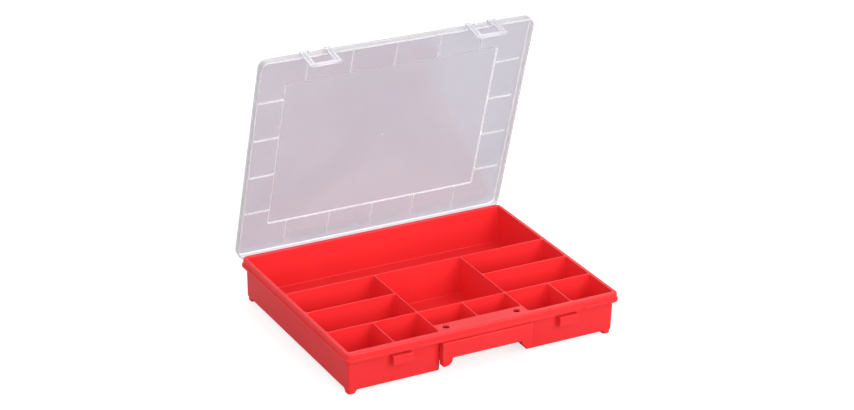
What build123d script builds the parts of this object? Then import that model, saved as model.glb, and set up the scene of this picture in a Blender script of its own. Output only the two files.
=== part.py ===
from build123d import *
from math import cos, radians, sin, tan
import os

# Compartment storage box: a moulded tray with fixed dividers, a clear hinged lid,
# two clear snap latches hung on the lid, and a carry handle that slides out of the front.
# Millimetres, +X to the right along the front, +Y to the hinges, +Z up.
# Each piece is drawn with the lid closed and the box centred, then set at its place.

# Overall sizes
lid_w = 370.0
lid_d = 295.0
body_h = 51.8
foot_h = 4.4

# Tray walls, set in from the lid's outline
wall_in_x = 4.9
wall_in_y = 7.1
wall_t = 1.8
floor_t = 2.0
wall_draft = 1.4
body_r = 4.5
base_edge_r = 2.5

# Rim, the step that the lid's skirt slides over, and the bead that it comes down on
rim_proud = 1.5
rim_t = 1.6
rim_r = 8.5
rim_edge_r = 2.2
step_h = 7.6
bead_h = 3.4
bead_edge_r = 0.7

# Compartments
columns = 6
rows = 5
divider_t = 1.4
cell_draft = 0.6
cell_r = 3.0
cell_floor_r = 1.6
divider_edge_r = 0.4

# Front shelf over the handle's pocket
shelf_d = 17.4
shelf_t = 2.0
shelf_lean = 8.3
shelf_hole_r = 4.5
shelf_hole_in = 11.3
block_edge_r = 1.5

# Feet
foot_l = 14.5
foot_r = 5.0
foot_inset = 0.4
foot_end = 9.6
foot_end_r = 3.0
foot_lean = 0.7
foot_edge = 0.5

# Catches on the front wall
catch_end = 73.0
catch_w = 25.0
catch_drop = 3.0
catch_h = 11.2
catch_out = 8.4
catch_wall = 2.0
catch_edge = 0.5
bead_gap = 1.0

# Hinges at the back
hinge_end = 65.0
hinge_span = 37.0
hinge_out = 2.3
hinge_drop = 3.1
hinge_pin_r = 2.0
hinge_fit = 0.05
ear_t = 2.5
ear_foot = 6.0
knuckle_t = 1.35
knuckle_w = 9.0
knuckle_gap = 0.5
snap_gap = 3.0
stop_angle = 45.5
stop_reach = 6.2
stop_t = 2.4
web_h = 5.5
web_out = 3.2
web_up = 1.6

# Lid
skirt_t = 1.2
skirt_gap = 0.2
plate_t = 1.6
lid_rise = 3.4
lid_edge_r = 1.4
panel_in_x = 40.0
panel_in_y = 41.0
panel_rise = 1.0
panel_r = 3.0
panel_slope = 40.0
rib_t = 1.2
rib_gap = 0.3
gate_r = 1.5
gate_h = 0.4

# Latches
latch_w = 41.0
latch_t = 2.2
arm_w = 7.5
bar_h = 5.4
latch_gap = 0.25
catch_play = 0.4
latch_pin_r = 1.0
latch_eye_r = 1.75
latch_fit = 0.05
latch_drop = 2.4
latch_corner_r = 1.5
window_corner_r = 0.8
groove_w = 2.8
groove_d = 0.6
lip_h = 1.6
lip_out = 1.2
lug_w = 3.2
lug_gap = 0.4

# Handle
handle_over = 1.05
handle_drop = 0.6
handle_h = 21.0
handle_out = 9.5
handle_t = 2.4
handle_gap = 0.3
tab_w = 13.2
tab_h = 9.8
tab_r = 9.0
tab_corner_r = 1.5
handle_edge_r = 0.8
slide_h = 10.0
slide_t = 4.0
slide_lift = 6.2
slide_gap = 0.4
slide_end_gap = 0.7
hook_w = 2.0
hook_l = 2.4
rail_t = 2.0
rail_w = 3.6
post_w = 2.4
post_d = 2.4
post_catch = 4.0

# Poses: the lid's rest angle from closed, and how far the free latches stand off
lid_open = 75.0
latch_flare = 3.0

# Cuts run past the faces that they open by this much
overrun = 5.0

# Worked out from the sizes above: tray
rim_top = foot_h + body_h
body_w = lid_w - 2 * wall_in_x
body_d = lid_d - 2 * wall_in_y
lean_in = body_h * tan(radians(wall_draft))
base_w = body_w - 2 * lean_in
base_d = body_d - 2 * lean_in
inner_w = body_w - 2 * wall_t
inner_d = body_d - 2 * wall_t
rim_w = lid_w - 2 * rim_proud
rim_d = lid_d - 2 * rim_proud
rim_in_w = rim_w - 2 * rim_t
rim_in_d = rim_d - 2 * rim_t
bead_top = rim_top - step_h
bead_low = bead_top - bead_h
floor_top = foot_h + floor_t
cell_in = (rim_top - floor_top) * tan(radians(cell_draft))
pitch_x = (inner_w + divider_t) / columns
pitch_y = (inner_d + divider_t) / rows
front_y = -body_d / 2
shelf_rear_y = front_y + shelf_d
shelf_hole_y = (front_y + shelf_rear_y) / 2
pocket_half = pitch_x - divider_t / 2
pocket_top = rim_top - shelf_t
shelf_hole_x = pocket_half - shelf_hole_in
foot_out_x = base_w / 2 - foot_inset
foot_out_y = base_d / 2 - foot_inset

# Catches and latches
catch_x = lid_w / 2 - catch_end
catch_places = [-catch_x, catch_x]
catch_top = bead_low - catch_drop
catch_low = catch_top - catch_h
bead_gap_w = latch_w + 2 * bead_gap
lid_top = rim_top + lid_rise
nose_y = front_y - catch_out
latch_in_y = -lid_d / 2 - latch_gap
latch_out_y = latch_in_y - latch_t
latch_y = latch_in_y - latch_eye_r
latch_z = lid_top - latch_drop
bar_top = catch_low - catch_play
bar_low = bar_top - bar_h
window_half = latch_w / 2 - arm_w
lug_out = window_half - lug_gap

# Hinges and lid
hinge_pitch = lid_w / 2 - hinge_end
hinge_places = [-hinge_pitch, 0, hinge_pitch]
hinge_y = lid_d / 2 + hinge_out
hinge_z = bead_top - hinge_drop
knuckle_r = hinge_pin_r + hinge_fit + knuckle_t
knuckle_x = (hinge_span - knuckle_w) / 2 - knuckle_gap
skirt_low = bead_top + skirt_gap
plate_low = lid_top - plate_t
lid_r = rim_r + rim_proud
panel_w = lid_w - 2 * panel_in_x
panel_d = lid_d - 2 * panel_in_y
panel_run = panel_rise / tan(radians(panel_slope))
rib_low = rim_top + rib_gap

# Handle
handle_w = 2 * (pocket_half + handle_over)
handle_top = bead_low - handle_drop
handle_bottom = handle_top - handle_h
tab_bottom = handle_bottom - tab_h
slide_low = handle_bottom + slide_lift
handle_front_y = front_y - handle_out
handle_rear_y = front_y - handle_gap
plate_rear_y = handle_front_y + handle_t
slide_top = slide_low + slide_h
slide_out_x = pocket_half - slide_gap
slide_in_x = slide_out_x - slide_t
post_out_x = slide_in_x - slide_gap
post_rear_y = front_y + post_d


def lean_y(z):
    """Pocket side of the leaning wall under the shelf, at height z."""
    share = (pocket_top - z) / (pocket_top - foot_h)
    return shelf_rear_y - wall_t + shelf_lean * share


slide_end_y = lean_y(slide_top) - slide_end_gap
handle_travel = slide_end_y - hook_l - post_rear_y - slide_gap

# Compartments as first and last grid line along X, then along Y, from the front left
back_cell = (0, 6, 3, 5)
side_cells = [(0, 2, 2, 3), (0, 2, 1, 2), (4, 6, 2, 3), (4, 6, 1, 2)]
middle_cell = (2, 4, 1, 3)
front_cells = [(0, 1, 0, 1), (1, 2, 0, 1), (4, 5, 0, 1), (5, 6, 0, 1)]
shelf_cells = [(2, 3, 0, 1), (3, 4, 0, 1)]
cells = [back_cell, *side_cells, middle_cell, *front_cells, *shelf_cells]


def cell_mouth(cell):
    """Mouth of a compartment: x from, x to, y from, y to."""
    c0, c1, r0, r1 = cell
    x0 = (c0 - columns / 2) * pitch_x + divider_t / 2
    x1 = (c1 - columns / 2) * pitch_x - divider_t / 2
    y0 = (r0 - rows / 2) * pitch_y + divider_t / 2
    y1 = (r1 - rows / 2) * pitch_y - divider_t / 2
    if cell in shelf_cells:
        y0 = shelf_rear_y
    return x0, x1, y0, y1


def cell_foot(cell):
    """The same four sides at the compartment's floor."""
    x0, x1, y0, y1 = cell_mouth(cell)
    front = lean_y(floor_top) + wall_t if cell in shelf_cells else y0 + cell_in
    return x0 + cell_in, x1 - cell_in, front, y1 - cell_in


os.makedirs("parts", exist_ok=True)

# Tray
with BuildPart() as tray:
    # walls and floor as one block, narrower at the base
    with BuildSketch(Plane.XY.offset(foot_h)):
        RectangleRounded(base_w, base_d, body_r - lean_in)
    with BuildSketch(Plane.XY.offset(rim_top)):
        RectangleRounded(body_w, body_d, body_r)
    loft(ruled=True)

    # pocket for the handle, open in front and below, under the shelf and its leaning wall
    with BuildSketch(Plane.YZ.offset(-pocket_half)):
        with BuildLine():
            Polyline(
                (front_y - overrun, foot_h - overrun),
                (front_y - overrun, pocket_top),
                (lean_y(pocket_top), pocket_top),
                (lean_y(foot_h), foot_h),
                (lean_y(foot_h), foot_h - overrun),
                close=True,
            )
        make_face()
    extrude(amount=2 * pocket_half, mode=Mode.SUBTRACT)

    # rounded front edges of the two blocks beside the pocket, then the edges of the base
    pocket_sides = tray.faces().filter_by(Axis.X).filter_by(
        lambda f: abs(abs(f.center().X) - pocket_half) < divider_t
    )
    fillet(pocket_sides.edges().group_by(Axis.Y)[0], block_edge_r)
    base_edges = tray.faces().sort_by(Axis.Z)[0].edges()
    fillet(
        base_edges.filter_by(lambda e: (e.center() - Vector(0, lean_y(foot_h), foot_h)).length > wall_t),
        base_edge_r,
    )

    # rim, with the bead round its foot, both hollow underneath
    with BuildSketch(Plane.XY.offset(bead_low)):
        RectangleRounded(rim_w, rim_d, rim_r)
        RectangleRounded(rim_in_w, rim_in_d, rim_r - rim_t, mode=Mode.SUBTRACT)
    extrude(amount=rim_top - bead_low)
    with BuildSketch(Plane.XY.offset(pocket_top)):
        RectangleRounded(rim_w, rim_d, rim_r)
    extrude(amount=shelf_t)
    fillet(tray.faces().sort_by(Axis.Z)[-1].outer_wire().edges(), rim_edge_r)
    with BuildSketch(Plane.XY.offset(bead_low)):
        RectangleRounded(lid_w, lid_d, lid_r)
        RectangleRounded(rim_in_w, rim_in_d, rim_r - rim_t, mode=Mode.SUBTRACT)
    extrude(amount=bead_h)
    bead_under = tray.faces().filter_by(Axis.Z).filter_by_position(
        Axis.Z, bead_low - bead_edge_r, bead_low + bead_edge_r
    )
    fillet(bead_under[0].outer_wire().edges(), bead_edge_r)

    # bead cut back where the latches and the lid's knuckles pass
    with BuildSketch(Plane.XY.offset(bead_low)):
        with Locations(*[(x, -lid_d / 2) for x in catch_places]):
            Rectangle(bead_gap_w, 2 * rim_proud)
        with Locations(*[(x, lid_d / 2) for x in hinge_places]):
            Rectangle(hinge_span, 2 * rim_proud)
    extrude(amount=bead_h, mode=Mode.SUBTRACT)

    # compartments, with their floor corners and mouths rounded
    for cell in cells:
        x0, x1, y0, y1 = cell_foot(cell)
        with BuildSketch(Plane.XY.offset(floor_top)):
            with Locations(((x0 + x1) / 2, (y0 + y1) / 2)):
                RectangleRounded(x1 - x0, y1 - y0, cell_r - cell_in)
        x0, x1, y0, y1 = cell_mouth(cell)
        with BuildSketch(Plane.XY.offset(rim_top)):
            with Locations(((x0 + x1) / 2, (y0 + y1) / 2)):
                RectangleRounded(x1 - x0, y1 - y0, cell_r)
        loft(ruled=True, mode=Mode.SUBTRACT)
    floors = tray.faces().filter_by(Axis.Z).filter_by_position(
        Axis.Z, floor_top - divider_edge_r, floor_top + divider_edge_r
    )
    fillet(floors.edges(), cell_floor_r)
    mouths = tray.faces().sort_by(Axis.Z)[-1].inner_wires()
    fillet(mouths.edges(), divider_edge_r)

    # holes in the shelf
    with Locations(
        (-shelf_hole_x, shelf_hole_y, rim_top), (shelf_hole_x, shelf_hole_y, rim_top)
    ):
        Hole(shelf_hole_r, depth=shelf_t)

    # feet, narrower at the ground
    for side_x, side_y in ((-1, -1), (1, -1), (-1, 1), (1, 1)):
        with BuildSketch(Plane.XY):
            with Locations((
                side_x * (foot_out_x - foot_lean - foot_end / 2),
                side_y * (foot_out_y - foot_lean - foot_end / 2),
            )):
                RectangleRounded(foot_end, foot_end, foot_end_r)
        with BuildSketch(Plane.XY.offset(foot_h + floor_t / 2)):
            with Locations((
                side_x * (foot_out_x - foot_l / 2),
                side_y * (foot_out_y - foot_l / 2),
            )):
                RectangleRounded(foot_l, foot_l, foot_r)
        loft(ruled=True)
    foot_ends = tray.faces().sort_by(Axis.Z).group_by(Axis.Z)[0]
    chamfer(foot_ends.edges(), foot_edge)

    # catches, hollow from below
    for x in catch_places:
        with BuildSketch(Plane.YZ.offset(x - catch_w / 2)):
            with BuildLine():
                Polyline(
                    (front_y + wall_t / 2, catch_top),
                    (nose_y + catch_edge, catch_top),
                    (nose_y, catch_top - catch_edge),
                    (nose_y, catch_low),
                    (front_y + wall_t / 2, catch_low),
                    close=True,
                )
            make_face()
        extrude(amount=catch_w)
        with BuildSketch(Plane.XY.offset(catch_low)):
            with Locations((x, (nose_y + catch_wall + front_y) / 2)):
                Rectangle(catch_w - 2 * catch_wall, catch_out - catch_wall)
        extrude(amount=catch_h - catch_wall, mode=Mode.SUBTRACT)

    # hinge ears and the pins between them
    for hinge in hinge_places:
        for x in (hinge - hinge_span / 2 - ear_t, hinge + hinge_span / 2):
            with BuildSketch(Plane.YZ.offset(x)):
                with BuildLine():
                    Polyline(
                        (hinge_y, hinge_z - hinge_drop),
                        (body_d / 2 - wall_t / 2, bead_low - ear_foot),
                        (body_d / 2 - wall_t / 2, bead_top),
                        (hinge_y, bead_top),
                    )
                    ThreePointArc(
                        (hinge_y, bead_top),
                        (hinge_y + hinge_drop, hinge_z),
                        (hinge_y, hinge_z - hinge_drop),
                    )
                make_face()
            extrude(amount=ear_t)
        with BuildSketch(Plane.YZ.offset(hinge - hinge_span / 2 - ear_t)):
            with Locations((hinge_y, hinge_z)):
                Circle(hinge_pin_r)
        extrude(amount=hinge_span + 2 * ear_t)

    # rails above and below the handle's slides, on the pocket's sides
    for side in (-1, 1):
        for low in (slide_low - slide_gap - rail_t, slide_top + slide_gap):
            with BuildSketch(Plane.XZ.offset(-front_y - block_edge_r)):
                with Locations((side * (pocket_half + wall_t - rail_w / 2), low + rail_t / 2)):
                    Rectangle(rail_w + 2 * wall_t, rail_t)
            extrude(amount=-shelf_d)
    # posts under the shelf that stop the slides' hooks
    with BuildSketch(Plane.XY.offset(slide_top - post_catch)):
        with Locations(
            (-post_out_x + post_w / 2, front_y + post_d / 2),
            (post_out_x - post_w / 2, front_y + post_d / 2),
        ):
            Rectangle(post_w, post_d)
    extrude(amount=pocket_top - slide_top + post_catch)

# Lid, drawn closed
with BuildPart() as lid:
    with BuildSketch(Plane.XY.offset(skirt_low)):
        RectangleRounded(lid_w, lid_d, lid_r)
    extrude(amount=lid_top - skirt_low)
    fillet(lid.faces().sort_by(Axis.Z)[-1].edges(), lid_edge_r)
    with BuildSketch(Plane.XY.offset(skirt_low)):
        RectangleRounded(lid_w - 2 * skirt_t, lid_d - 2 * skirt_t, lid_r - skirt_t)
    extrude(amount=plate_low - skirt_low, mode=Mode.SUBTRACT)

    # raised middle of the plate, of the same thickness
    for low, mode in ((lid_top, Mode.ADD), (plate_low, Mode.SUBTRACT)):
        with BuildSketch(Plane.XY.offset(low)):
            RectangleRounded(panel_w, panel_d, panel_r)
        with BuildSketch(Plane.XY.offset(low + panel_rise)):
            RectangleRounded(
                panel_w - 2 * panel_run, panel_d - 2 * panel_run, panel_r - panel_run
            )
        loft(ruled=True, mode=mode)
    with BuildSketch(Plane.XY.offset(lid_top + panel_rise)):
        Circle(gate_r)
    extrude(amount=gate_h)

    # ribs under the border, over the tray's grid lines
    with BuildSketch(Plane.XY.offset(rib_low)):
        for column in range(1, columns):
            with Locations(
                ((column - columns / 2) * pitch_x, (panel_d + inner_d) / 4),
                ((column - columns / 2) * pitch_x, -(panel_d + inner_d) / 4),
            ):
                Rectangle(rib_t, (inner_d - panel_d) / 2)
        for row in range(1, rows):
            with Locations(
                ((panel_w + inner_w) / 4, (row - rows / 2) * pitch_y),
                (-(panel_w + inner_w) / 4, (row - rows / 2) * pitch_y),
            ):
                Rectangle((inner_w - panel_w) / 2, rib_t)
    extrude(amount=plate_low - rib_low)

    # knuckles that snap over the pins, each with its web and stop
    for hinge in hinge_places:
        for x in (hinge - knuckle_x, hinge + knuckle_x):
            with BuildSketch(Plane.YZ.offset(x - knuckle_w / 2)):
                with BuildLine():
                    Polyline(
                        (lid_d / 2 - skirt_t / 2, skirt_low + web_h),
                        (lid_d / 2, skirt_low + web_h),
                        (hinge_y + web_out, hinge_z + web_up),
                        (hinge_y, hinge_z),
                        (lid_d / 2 - skirt_t / 2, skirt_low),
                        close=True,
                    )
                make_face()
                with Locations((hinge_y, hinge_z)):
                    Circle(knuckle_r)
                with Locations(Location((hinge_y, hinge_z), -stop_angle)):
                    with Locations((stop_reach / 2, 0)):
                        Rectangle(stop_reach, stop_t)
                with Locations((hinge_y, hinge_z)):
                    Circle(hinge_pin_r + hinge_fit, mode=Mode.SUBTRACT)
                with Locations((hinge_y, hinge_z - knuckle_r / 2)):
                    Rectangle(snap_gap, knuckle_r, mode=Mode.SUBTRACT)
            extrude(amount=knuckle_w)

    # lugs and pins for the latches
    for centre in catch_places:
        for side in (-1, 1):
            with BuildSketch(Plane.YZ.offset(centre + side * lug_out)):
                with Locations(((latch_y - lid_d / 2 + skirt_t / 2) / 2, latch_z)):
                    Rectangle(-latch_y - lid_d / 2 + skirt_t / 2, 2 * latch_eye_r)
                with Locations((latch_y, latch_z)):
                    Circle(latch_eye_r)
            extrude(amount=-side * lug_w)
            with BuildSketch(Plane.YZ.offset(centre + side * lug_out)):
                with Locations((latch_y, latch_z)):
                    Circle(latch_pin_r)
            extrude(amount=side * (latch_w / 2 - lug_out))
# Latches, drawn locked
latches = {"latch_left": -catch_x, "latch_right": catch_x}
latch_parts = {}
for name, centre in latches.items():
    with BuildPart() as latch:
        # two arms and a crossbar
        with BuildSketch(Plane.XZ.offset(-latch_in_y)) as frame:
            with Locations((centre, (bar_low + latch_z) / 2)):
                Rectangle(latch_w, latch_z - bar_low)
            with Locations((centre, (bar_top + latch_z) / 2)):
                Rectangle(2 * window_half, latch_z - bar_top, mode=Mode.SUBTRACT)
            fillet(frame.vertices().group_by(Axis.Y)[0], latch_corner_r)
            fillet(frame.vertices().filter_by_position(Axis.Y, bar_top, bar_top), window_corner_r)
        extrude(amount=latch_t)
        with BuildSketch(Plane.XZ.offset(-latch_out_y)):
            with Locations((centre, bar_low + lip_h / 2)):
                Rectangle(latch_w - 2 * latch_corner_r, lip_h)
        extrude(amount=lip_out)
        with BuildSketch(Plane.XZ.offset(-latch_out_y)):
            with Locations((centre, (bar_top + latch_z - latch_eye_r) / 2)):
                with GridLocations(latch_w - arm_w, 0, 2, 1):
                    Rectangle(groove_w, latch_z - latch_eye_r - bar_top)
        extrude(amount=-groove_d, mode=Mode.SUBTRACT)

        # eyes for the lid's pins
        for x in (centre - latch_w / 2, centre + window_half):
            with BuildSketch(Plane.YZ.offset(x)):
                with Locations((latch_y, latch_z)):
                    Circle(latch_eye_r)
            extrude(amount=arm_w)
            with BuildSketch(Plane.YZ.offset(x)):
                with Locations((latch_y, latch_z)):
                    Circle(latch_pin_r + latch_fit)
            extrude(amount=arm_w, mode=Mode.SUBTRACT)
    latch_parts[name] = latch.part

# Carry handle: an open shell in front of the pocket, on two slides with hooked ends
with BuildPart() as carry_handle:
    with BuildSketch(Plane.XZ.offset(-handle_front_y)) as face:
        with Locations((0, (handle_bottom + handle_top) / 2)):
            Rectangle(handle_w, handle_top - handle_bottom)
        with Locations((0, (tab_bottom + handle_top) / 2)):
            with GridLocations(handle_w - tab_w, 0, 2, 1):
                Rectangle(tab_w, handle_top - tab_bottom)
        fillet(face.vertices().group_by(Axis.Y)[0].sort_by(Axis.X)[1:-1], tab_r)
        tab_ends = face.vertices().group_by(Axis.Y)[0].sort_by(Axis.X)
        fillet([tab_ends[0], tab_ends[-1]], tab_corner_r)
    extrude(amount=handle_front_y - handle_rear_y)
    face_edges = carry_handle.faces().filter_by(Axis.Y).sort_by(Axis.Y)[0].outer_wire()
    fillet(face_edges.edges(), handle_edge_r)
    with BuildSketch(Plane.XZ.offset(-plate_rear_y)):
        with Locations((0, (tab_bottom + handle_top) / 2 - handle_t)):
            Rectangle(handle_w - 2 * handle_t, handle_top - tab_bottom)
    extrude(amount=plate_rear_y - handle_rear_y, mode=Mode.SUBTRACT)
    with BuildSketch(Plane.XY.offset(slide_low)):
        with Locations((0, (plate_rear_y - handle_t / 2 + slide_end_y) / 2)):
            with GridLocations(slide_in_x + slide_out_x, 0, 2, 1):
                Rectangle(slide_t, slide_end_y - plate_rear_y + handle_t / 2)
        with Locations((0, slide_end_y - hook_l / 2)):
            with GridLocations(2 * slide_in_x - hook_w, 0, 2, 1):
                Rectangle(hook_w, hook_l)
    extrude(amount=slide_h)

# Places at rest: the box stands centred over the origin, with the lid held open
lid_rear_y = lid_d / 2 - hinge_y
lid_rear_z = lid_top - hinge_z
open_reach = lid_rear_y * cos(radians(lid_open)) + lid_rear_z * sin(radians(lid_open))
origin_y = (hinge_y + open_reach + handle_front_y) / 2
tray_place = Pos(0, -origin_y, 0)
lid_turn = Pos(0, hinge_y, hinge_z) * Rot(-lid_open, 0, 0) * Pos(0, -hinge_y, -hinge_z)
latch_turn = Pos(0, latch_y, latch_z) * Rot(-latch_flare, 0, 0) * Pos(0, -latch_y, -latch_z)
tray.part.move(tray_place)
lid.part.move(tray_place * lid_turn)
carry_handle.part.move(tray_place)

tray.part.label = "tray"
lid.part.label = "lid"
carry_handle.part.label = "carry_handle"
export_step(tray.part, "parts/tray.step")
export_step(lid.part, "parts/lid.step")
export_step(carry_handle.part, "parts/carry_handle.step")
for name, part in latch_parts.items():
    part.move(tray_place * lid_turn * latch_turn)
    part.label = name
    export_step(part, f"parts/{name}.step")

print("origin", origin_y, "hinge", hinge_y - origin_y, hinge_z)
print("latch pivots", tray_place * lid_turn * Pos(catch_x, latch_y, latch_z))
print("handle travel", handle_travel)
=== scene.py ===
from math import cos, radians, sin

import bmesh
import bpy
from mathutils import Matrix, Vector


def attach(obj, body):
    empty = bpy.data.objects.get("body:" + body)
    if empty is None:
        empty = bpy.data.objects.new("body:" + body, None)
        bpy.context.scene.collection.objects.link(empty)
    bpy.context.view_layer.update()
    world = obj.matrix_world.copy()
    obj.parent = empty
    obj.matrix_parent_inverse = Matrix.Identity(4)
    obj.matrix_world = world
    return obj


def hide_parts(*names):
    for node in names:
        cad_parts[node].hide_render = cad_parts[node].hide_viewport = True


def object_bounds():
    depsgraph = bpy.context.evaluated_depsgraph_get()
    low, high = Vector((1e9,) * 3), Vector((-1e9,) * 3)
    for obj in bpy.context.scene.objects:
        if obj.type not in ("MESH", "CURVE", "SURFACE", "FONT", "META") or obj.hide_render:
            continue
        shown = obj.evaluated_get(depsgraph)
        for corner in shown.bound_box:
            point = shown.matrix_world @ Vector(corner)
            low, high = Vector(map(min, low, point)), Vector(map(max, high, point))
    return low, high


# Dressed model of the open compartment box: red moulded tray and carry handle,
# hazy clear lid and latches. Metres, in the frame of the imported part.

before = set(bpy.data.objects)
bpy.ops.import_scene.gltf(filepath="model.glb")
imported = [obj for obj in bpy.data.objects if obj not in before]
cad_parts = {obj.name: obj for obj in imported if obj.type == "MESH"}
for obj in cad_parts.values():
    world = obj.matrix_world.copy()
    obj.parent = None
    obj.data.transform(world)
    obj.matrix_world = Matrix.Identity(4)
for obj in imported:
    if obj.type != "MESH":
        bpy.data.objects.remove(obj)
cad_low, cad_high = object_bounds()

# Rounding of moulded edges, what counts as an edge, and what is flat or one point
tray_rounding = 0.00030
handle_rounding = 0.00035
lid_rounding = 0.00022
latch_rounding = 0.00020
edge_segments = 2
edge_angle = radians(28)
flat_angle = radians(0.4)
same_point = 0.000002

# Patches of uneven gloss, per metre, the middle value of their pattern, and the part of the
# slow flow pattern over which a plastic's tone goes from its deeper to its lighter colour
gloss_patch_scale = 55.0
pattern_middle = 0.5
tone_from = 0.35
tone_to = 0.65

# Painted highlights on edges: how finely the edges are felt for, and the likeness of the rounded
# surface's way to the true one on flat ground and on an edge
edge_samples = 6
edge_none = 0.995
edge_full = 0.93

# Finishes: how deep the moulding's grain is and how uneven its gloss, how far in from an
# edge the painted highlight reaches, its colours, and how it takes light
plastic_ior = 1.49
white = (1.0, 1.0, 1.0)

red_skin = {
    "Grain Scale": 1400.0, "Grain Depth": 0.000012, "Roughness": 0.36,
    "Gloss Spread": 0.10, "Flow Scale": 9.0,
}
# The red's edge tone is a painted highlight, laid on where the edge mask is high
red_edge_highlight = {"Reach": 0.0006, "Level": 0.5}
red_tones = {
    "deeper": (0.86, 0.030, 0.035), "lighter": (0.90, 0.034, 0.039), "edge": (1.0, 0.16, 0.16),
}
red_shader = {
    "IOR": plastic_ior, "Specular IOR Level": 0.25, "Subsurface Weight": 0.12,
    "Subsurface Scale": 0.002, "Subsurface Radius": (1.0, 0.12, 0.10),
}

lid_skin = {
    "Grain Scale": 700.0, "Grain Depth": 0.000002, "Roughness": 0.07,
    "Gloss Spread": 0.03, "Flow Scale": 6.0,
}
# The lid's white edge tone is a painted highlight
lid_edge_highlight = {"Reach": 0.0008, "Level": 1.0}
lid_tones = {"deeper": (0.54, 0.532, 0.59), "lighter": (0.575, 0.567, 0.625), "edge": white}
lid_shader = {"IOR": plastic_ior, "Transmission Weight": 0.72}

latch_skin = {
    "Grain Scale": 700.0, "Grain Depth": 0.000006, "Roughness": 0.14,
    "Gloss Spread": 0.04, "Flow Scale": 20.0,
}
# The latches' white edge tone is a painted highlight
latch_edge_highlight = {"Reach": 0.0007, "Level": 1.0}
latch_tones = {"deeper": (0.79, 0.78, 0.84), "lighter": (0.83, 0.82, 0.88), "edge": white}
latch_shader = {"IOR": plastic_ior, "Transmission Weight": 0.52}

# Share of the light that each wall of the clear plastic lets through
light_passed = 0.8

# The lid at rest: a point on its hinge's line, its turn from closed, and the way its plate
# faces
hinge_point = (0.0, 0.143338, 0.0455)
lid_turn = radians(75.0)
plate_way = (0.0, sin(lid_turn), cos(lid_turn))

# Heights over the hinge's line, square to the plate, between which the lid gets a painted
# highlight: the skirt's mouth and the knuckles, the ribs, and the gate's mark on the panel
height_span = 0.016
mouth_top = 0.0047
rib_low = 0.0108
rib_top = 0.01235
gate_low = 0.01525

# How nearly a surface of the lid faces as the plate does, from upright walls (0) to the plate
# itself (1): the panel's slopes get a painted highlight in between, and all but the plate is
# duller
walls_end = 0.25
slopes_start = 0.45
slopes_end = 0.86
dull_end = 0.90
plate_start = 0.97

# How strong the painted highlight on the upright walls is, between the plate (0) and the ribs (1),
# and how dull
wall_painted_highlight = 0.5
wall_roughness = 0.5

# Places of the colours on a mix node
mix_first = 6
mix_second = 7
mix_result = 2

# Camera of the photograph: its picture, its place, the turn that makes it look level, and
# its turns from there
photo_width = 854
photo_height = 410
photo_focal = 2433.64
photo_centre_x = 422.23
photo_centre_y = 202.55
sensor_width = 36.0
camera_place = Vector((-1.29347, -2.34130, 1.35158))
camera_level = radians(90)
camera_yaw = radians(-28.797)
camera_tilt = radians(-24.197)
camera_roll = radians(1.184)

# Square lamps, all turned to the middle of the box: place, side, and watts
lamps = {
    "key": (Vector((0.6, -2.3, 1.2)), 1.4, 38.0),
    "fill": (Vector((-1.9, -1.4, 1.0)), 1.6, 10.0),
    "rear": (Vector((0.4, 1.6, 1.6)), 1.4, 9.0),
}

# Light from all round, and the backdrop's white
ambient_level = 0.71
backdrop_level = 1.0

# Floor: its size, its own tone and dullness, how much of its white doesn't depend on the lamps,
# and how much of that shows in gloss
floor_half = 6.0
floor_tone = 0.40
floor_roughness = 0.9
floor_lift = 0.75
floor_in_gloss = 0.22


def socket(group, name, kind="NodeSocketFloat", way="INPUT"):
    """One named input or output of a shader group."""
    group.interface.new_socket(name=name, in_out=way, socket_type=kind)


def add(tree, kind, **settings):
    """A shader node with its settings and its plain input values."""
    node = tree.nodes.new(kind)
    for name, value in settings.items():
        if hasattr(node, name):
            setattr(node, name, value)
        else:
            node.inputs[name.replace("_", " ")].default_value = value
    return node


def ramp(tree, stops, interpolation="LINEAR"):
    """A grey ramp through the given places and levels."""
    node = tree.nodes.new("ShaderNodeValToRGB")
    node.color_ramp.interpolation = interpolation
    marks = node.color_ramp.elements
    while len(marks) < len(stops):
        marks.new(1.0)
    for mark, (place, level) in zip(marks, stops):
        mark.position = place
        mark.color = (level, level, level, 1.0)
    return node


def moulded_skin():
    """Fine texture of a moulded surface, its uneven gloss, and slow changes of tone."""
    group = bpy.data.node_groups.new("moulded_skin", "ShaderNodeTree")
    for name in ("Grain Scale", "Grain Depth", "Roughness", "Gloss Spread", "Flow Scale"):
        socket(group, name)
    socket(group, "Roughness", way="OUTPUT")
    socket(group, "Flow", way="OUTPUT")
    socket(group, "Normal", "NodeSocketVector", way="OUTPUT")
    ports = group.nodes.new("NodeGroupInput")
    ends = group.nodes.new("NodeGroupOutput")
    place = group.nodes.new("ShaderNodeTexCoord")
    grain = add(group, "ShaderNodeTexNoise", Detail=3.0, Roughness=0.6)
    flow = add(group, "ShaderNodeTexNoise", Detail=2.0, Roughness=0.5, Distortion=0.6)
    patches = add(
        group, "ShaderNodeTexNoise", Scale=gloss_patch_scale, Detail=4.0, Roughness=0.65,
    )
    bump = add(group, "ShaderNodeBump", Strength=1.0)
    centred = add(group, "ShaderNodeMath", operation="SUBTRACT")
    centred.inputs[1].default_value = pattern_middle
    spread = add(group, "ShaderNodeMath", operation="MULTIPLY_ADD")
    link = group.links.new
    for texture in (grain, flow, patches):
        link(place.outputs["Object"], texture.inputs["Vector"])
    link(ports.outputs["Grain Scale"], grain.inputs["Scale"])
    link(ports.outputs["Flow Scale"], flow.inputs["Scale"])
    link(ports.outputs["Grain Depth"], bump.inputs["Distance"])
    link(grain.outputs["Fac"], bump.inputs["Height"])
    link(patches.outputs["Fac"], centred.inputs[0])
    link(centred.outputs[0], spread.inputs[0])
    link(ports.outputs["Gloss Spread"], spread.inputs[1])
    link(ports.outputs["Roughness"], spread.inputs[2])
    link(spread.outputs[0], ends.inputs["Roughness"])
    link(flow.outputs["Fac"], ends.inputs["Flow"])
    link(bump.outputs["Normal"], ends.inputs["Normal"])
    return group


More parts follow.
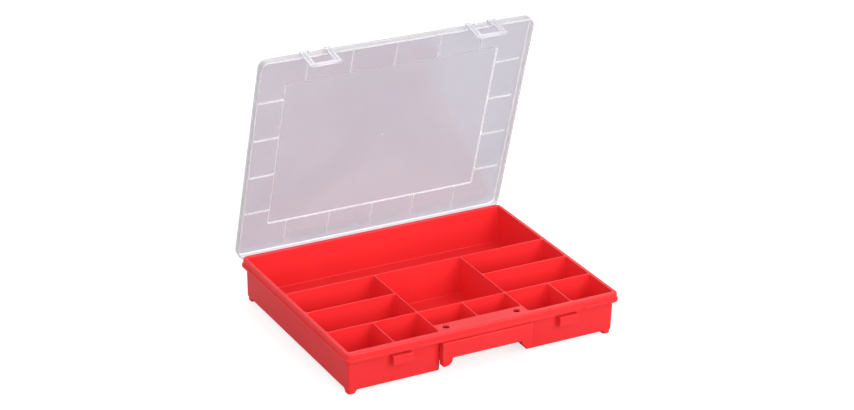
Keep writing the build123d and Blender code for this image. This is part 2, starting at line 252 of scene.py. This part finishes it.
def painted_edge_highlight():
    """How much a point lies on an edge, where a painted highlight makes the plastic look paler."""
    group = bpy.data.node_groups.new("painted_edge_highlight", "ShaderNodeTree")
    socket(group, "Reach")
    socket(group, "Level")
    socket(group, "Edge", way="OUTPUT")
    ports = group.nodes.new("NodeGroupInput")
    ends = group.nodes.new("NodeGroupOutput")
    shape = group.nodes.new("ShaderNodeNewGeometry")
    rounded = add(group, "ShaderNodeBevel", samples=edge_samples)
    likeness = add(group, "ShaderNodeVectorMath", operation="DOT_PRODUCT")
    band = group.nodes.new("ShaderNodeMapRange")
    band.inputs["From Min"].default_value = edge_none
    band.inputs["From Max"].default_value = edge_full
    level = add(group, "ShaderNodeMath", operation="MULTIPLY")
    link = group.links.new
    link(ports.outputs["Reach"], rounded.inputs["Radius"])
    link(rounded.outputs["Normal"], likeness.inputs[0])
    link(shape.outputs["Normal"], likeness.inputs[1])
    link(likeness.outputs["Value"], band.inputs["Value"])
    link(band.outputs["Result"], level.inputs[0])
    link(ports.outputs["Level"], level.inputs[1])
    link(level.outputs[0], ends.inputs["Edge"])
    return group


def placed(tree, group, name, values):
    """A shader group placed in a material, with its own values."""
    node = tree.nodes.new("ShaderNodeGroup")
    node.name = name
    node.node_tree = group
    for key, value in values.items():
        node.inputs[key].default_value = value
    return node


def plastic(name, skin_values, edge_highlight_values, tones, shader_values):
    """A moulded plastic: two close tones that drift over the surface, and a painted highlight at
    edges.
    """
    material = bpy.data.materials.new(name)
    material.use_nodes = True
    tree = material.node_tree
    shader = tree.nodes["Principled BSDF"]
    for key, value in shader_values.items():
        shader.inputs[key].default_value = value
    surface = placed(tree, skin_group, "skin", skin_values)
    rim = placed(tree, edge_highlight_group, "rim", edge_highlight_values)
    drift = tree.nodes.new("ShaderNodeValToRGB")
    for mark, position, tone in zip(
        drift.color_ramp.elements, (tone_from, tone_to), (tones["deeper"], tones["lighter"]),
    ):
        mark.position = position
        mark.color = (*tone, 1.0)
    # Painted highlight: the edge tone is mixed over the plastic's tones at edges
    painted_highlight = add(tree, "ShaderNodeMix", data_type="RGBA")
    painted_highlight.name = "painted_highlight"
    painted_highlight.inputs[mix_second].default_value = (*tones["edge"], 1.0)
    link = tree.links.new
    link(surface.outputs["Flow"], drift.inputs["Fac"])
    link(rim.outputs["Edge"], painted_highlight.inputs["Factor"])
    link(drift.outputs["Color"], painted_highlight.inputs[mix_first])
    link(painted_highlight.outputs[mix_result], shader.inputs["Base Color"])
    link(surface.outputs["Roughness"], shader.inputs["Roughness"])
    link(surface.outputs["Normal"], shader.inputs["Normal"])
    return material


def paint_highlights_and_dullness_on_lid(material):
    """The lid's ribs, skirt, knuckles, gate and slopes get a painted highlight that makes them
    whiter than its plate, or look duller.
    """
    tree = material.node_tree
    place = tree.nodes.new("ShaderNodeTexCoord")
    over_hinge = add(tree, "ShaderNodeVectorMath", operation="SUBTRACT")
    over_hinge.inputs[1].default_value = hinge_point
    height = add(tree, "ShaderNodeVectorMath", operation="DOT_PRODUCT")
    height.inputs[1].default_value = plate_way
    share = add(tree, "ShaderNodeMath", operation="DIVIDE")
    share.inputs[1].default_value = height_span
    # Painted highlight by height over the hinge: skirt's mouth, knuckles, ribs and gate
    painted_highlight_by_height = ramp(tree, [
        (0.0, 1.0),
        (mouth_top / height_span, 0.0),
        (rib_low / height_span, 1.0),
        (rib_top / height_span, 0.0),
        (gate_low / height_span, 1.0),
    ], "CONSTANT")
    facing = add(tree, "ShaderNodeVectorMath", operation="DOT_PRODUCT")
    facing.inputs[1].default_value = plate_way
    either_way = add(tree, "ShaderNodeMath", operation="ABSOLUTE")
    # Painted highlight by facing: the panel's slopes, and half as much on upright walls
    painted_highlight_by_slope = ramp(tree, [
        (walls_end, wall_painted_highlight),
        (slopes_start, 1.0),
        (slopes_end, 1.0),
        (plate_start, 0.0),
    ])
    dull_by_slope = ramp(tree, [(dull_end, wall_roughness), (plate_start, 0.0)])
    lid_form_highlight = add(tree, "ShaderNodeMath", operation="MAXIMUM")
    all_painted_highlights = add(tree, "ShaderNodeMath", operation="MAXIMUM")
    duller = add(tree, "ShaderNodeMath", operation="MAXIMUM")
    link = tree.links.new
    link(place.outputs["Object"], over_hinge.inputs[0])
    link(over_hinge.outputs["Vector"], height.inputs[0])
    link(height.outputs["Value"], share.inputs[0])
    link(share.outputs[0], painted_highlight_by_height.inputs["Fac"])
    link(place.outputs["Normal"], facing.inputs[0])
    link(facing.outputs["Value"], either_way.inputs[0])
    link(either_way.outputs[0], painted_highlight_by_slope.inputs["Fac"])
    link(either_way.outputs[0], dull_by_slope.inputs["Fac"])
    link(painted_highlight_by_height.outputs["Color"], lid_form_highlight.inputs[0])
    link(painted_highlight_by_slope.outputs["Color"], lid_form_highlight.inputs[1])
    # Painted highlights of the lid's forms and edges together mix the plate's tones toward white
    link(lid_form_highlight.outputs[0], all_painted_highlights.inputs[0])
    link(tree.nodes["rim"].outputs["Edge"], all_painted_highlights.inputs[1])
    link(all_painted_highlights.outputs[0], tree.nodes["painted_highlight"].inputs["Factor"])
    link(dull_by_slope.outputs["Color"], duller.inputs[0])
    link(tree.nodes["skin"].outputs["Roughness"], duller.inputs[1])
    link(duller.outputs[0], tree.nodes["Principled BSDF"].inputs["Roughness"])


def let_light_through(material):
    """Light for what lies under the clear plastic passes it, instead of stopping as a shadow."""
    tree = material.node_tree
    rays = tree.nodes.new("ShaderNodeLightPath")
    passing = add(tree, "ShaderNodeMath", operation="MULTIPLY")
    passing.inputs[1].default_value = light_passed
    open_way = tree.nodes.new("ShaderNodeBsdfTransparent")
    either = tree.nodes.new("ShaderNodeMixShader")
    link = tree.links.new
    link(rays.outputs["Is Shadow Ray"], passing.inputs[0])
    link(passing.outputs[0], either.inputs["Fac"])
    link(tree.nodes["Principled BSDF"].outputs["BSDF"], either.inputs[1])
    link(open_way.outputs["BSDF"], either.inputs[2])
    link(either.outputs["Shader"], tree.nodes["Material Output"].inputs["Surface"])


def dress(node, body, material, width, join=True):
    """A copy of a moulded piece with its facets joined and its sharp edges rounded."""
    form = bmesh.new()
    form.from_mesh(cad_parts[node].data)
    bmesh.ops.remove_doubles(form, verts=form.verts, dist=same_point)
    if join:
        bmesh.ops.dissolve_limit(
            form, angle_limit=flat_angle, use_dissolve_boundaries=False,
            verts=form.verts, edges=form.edges, delimit={"NORMAL"},
        )
    for face in form.faces:
        face.smooth = True
    mesh = bpy.data.meshes.new(node + "_moulding")
    form.to_mesh(mesh)
    form.free()
    mesh.set_sharp_from_angle(angle=edge_angle)
    mesh.materials.append(material)
    piece = bpy.data.objects.new(node + "_moulding", mesh)
    bpy.context.scene.collection.objects.link(piece)
    rounding = piece.modifiers.new("edge rounding", "BEVEL")
    rounding.limit_method = "ANGLE"
    rounding.angle_limit = edge_angle
    rounding.width = width
    rounding.segments = edge_segments
    rounding.harden_normals = True
    rounding.use_clamp_overlap = True
    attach(piece, body)
    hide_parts(node)


def seen_rays(tree):
    """Light paths, and a mask of what is seen directly or through clear plastic."""
    rays = tree.nodes.new("ShaderNodeLightPath")
    seen = add(tree, "ShaderNodeMath", operation="MAXIMUM")
    tree.links.new(rays.outputs["Is Camera Ray"], seen.inputs[0])
    tree.links.new(rays.outputs["Is Transmission Ray"], seen.inputs[1])
    return rays, seen


def floor_material():
    """Plain white floor that still takes a faint shadow."""
    material = bpy.data.materials.new("white_floor")
    material.use_nodes = True
    tree = material.node_tree
    shader = tree.nodes["Principled BSDF"]
    shader.inputs["Base Color"].default_value = (floor_tone, floor_tone, floor_tone, 1.0)
    shader.inputs["Roughness"].default_value = floor_roughness
    shader.inputs["Specular IOR Level"].default_value = 0.0
    shader.inputs["Emission Color"].default_value = (*white, 1.0)
    rays, seen = seen_rays(tree)
    with_gloss = add(tree, "ShaderNodeMath", operation="MULTIPLY_ADD")
    with_gloss.inputs[1].default_value = floor_in_gloss
    lift = add(tree, "ShaderNodeMath", operation="MULTIPLY")
    lift.inputs[1].default_value = floor_lift
    link = tree.links.new
    link(rays.outputs["Is Glossy Ray"], with_gloss.inputs[0])
    link(seen.outputs[0], with_gloss.inputs[2])
    link(with_gloss.outputs[0], lift.inputs[0])
    link(lift.outputs[0], shader.inputs["Emission Strength"])
    return material


def make_floor():
    """The floor that the box stands on."""
    form = bmesh.new()
    bmesh.ops.create_grid(form, x_segments=1, y_segments=1, size=floor_half)
    mesh = bpy.data.meshes.new("floor")
    form.to_mesh(mesh)
    form.free()
    mesh.materials.append(floor_material())
    floor = bpy.data.objects.new("floor", mesh)
    bpy.context.scene.collection.objects.link(floor)


def make_world():
    """A white backdrop for what is seen, and a softer level for what it lights."""
    world = bpy.data.worlds.new("studio")
    bpy.context.scene.world = world
    world.use_nodes = True
    tree = world.node_tree
    tree.nodes.clear()
    rays, seen = seen_rays(tree)
    with_gloss = add(tree, "ShaderNodeMath", operation="MAXIMUM")
    soft = add(tree, "ShaderNodeBackground", Strength=ambient_level, Color=(*white, 1.0))
    backdrop = add(tree, "ShaderNodeBackground", Strength=backdrop_level, Color=(*white, 1.0))
    choose = tree.nodes.new("ShaderNodeMixShader")
    out = tree.nodes.new("ShaderNodeOutputWorld")
    link = tree.links.new
    link(seen.outputs[0], with_gloss.inputs[0])
    link(rays.outputs["Is Glossy Ray"], with_gloss.inputs[1])
    link(with_gloss.outputs[0], choose.inputs["Fac"])
    link(soft.outputs[0], choose.inputs[1])
    link(backdrop.outputs[0], choose.inputs[2])
    link(choose.outputs[0], out.inputs["Surface"])


def make_lamps():
    """The soft square lamps."""
    centre = (cad_low + cad_high) / 2
    for name, (place, side, power) in lamps.items():
        data = bpy.data.lights.new(name, "AREA")
        data.size = side
        data.energy = power
        light = bpy.data.objects.new(name, data)
        light.location = place
        light.rotation_euler = (centre - place).to_track_quat("-Z", "Y").to_euler()
        bpy.context.scene.collection.objects.link(light)


def make_camera():
    """The photograph's view."""
    data = bpy.data.cameras.new("photo_view")
    data.sensor_fit = "HORIZONTAL"
    data.sensor_width = sensor_width
    data.lens = photo_focal * sensor_width / photo_width
    data.shift_x = (photo_width / 2 - photo_centre_x) / photo_width
    data.shift_y = (photo_centre_y - photo_height / 2) / photo_width
    camera = bpy.data.objects.new("photo_view", data)
    camera.matrix_world = (
        Matrix.Translation(camera_place)
        @ Matrix.Rotation(camera_yaw, 4, "Z")
        @ Matrix.Rotation(camera_level + camera_tilt, 4, "X")
        @ Matrix.Rotation(camera_roll, 4, "Z")
    )
    bpy.context.scene.collection.objects.link(camera)
    bpy.context.scene.camera = camera


skin_group = moulded_skin()
edge_highlight_group = painted_edge_highlight()
red = plastic("red_polypropylene", red_skin, red_edge_highlight, red_tones, red_shader)
clear = plastic(
    "hazy_clear_polypropylene", lid_skin, lid_edge_highlight, lid_tones, lid_shader,
)
latch_clear = plastic(
    "hazy_latch_polypropylene", latch_skin, latch_edge_highlight, latch_tones, latch_shader,
)
paint_highlights_and_dullness_on_lid(clear)
let_light_through(clear)
let_light_through(latch_clear)

# The latches' flat faces stay in their triangles, since joined they would close the windows
dress("tray", "tray", red, tray_rounding)
dress("carry_handle", "carry_handle", red, handle_rounding)
dress("lid", "lid", clear, lid_rounding)
dress("latch_left", "latch_left", latch_clear, latch_rounding, join=False)
dress("latch_right", "latch_right", latch_clear, latch_rounding, join=False)

make_floor()
make_world()
make_lamps()
make_camera()
bpy.context.scene.view_settings.view_transform = "Standard"
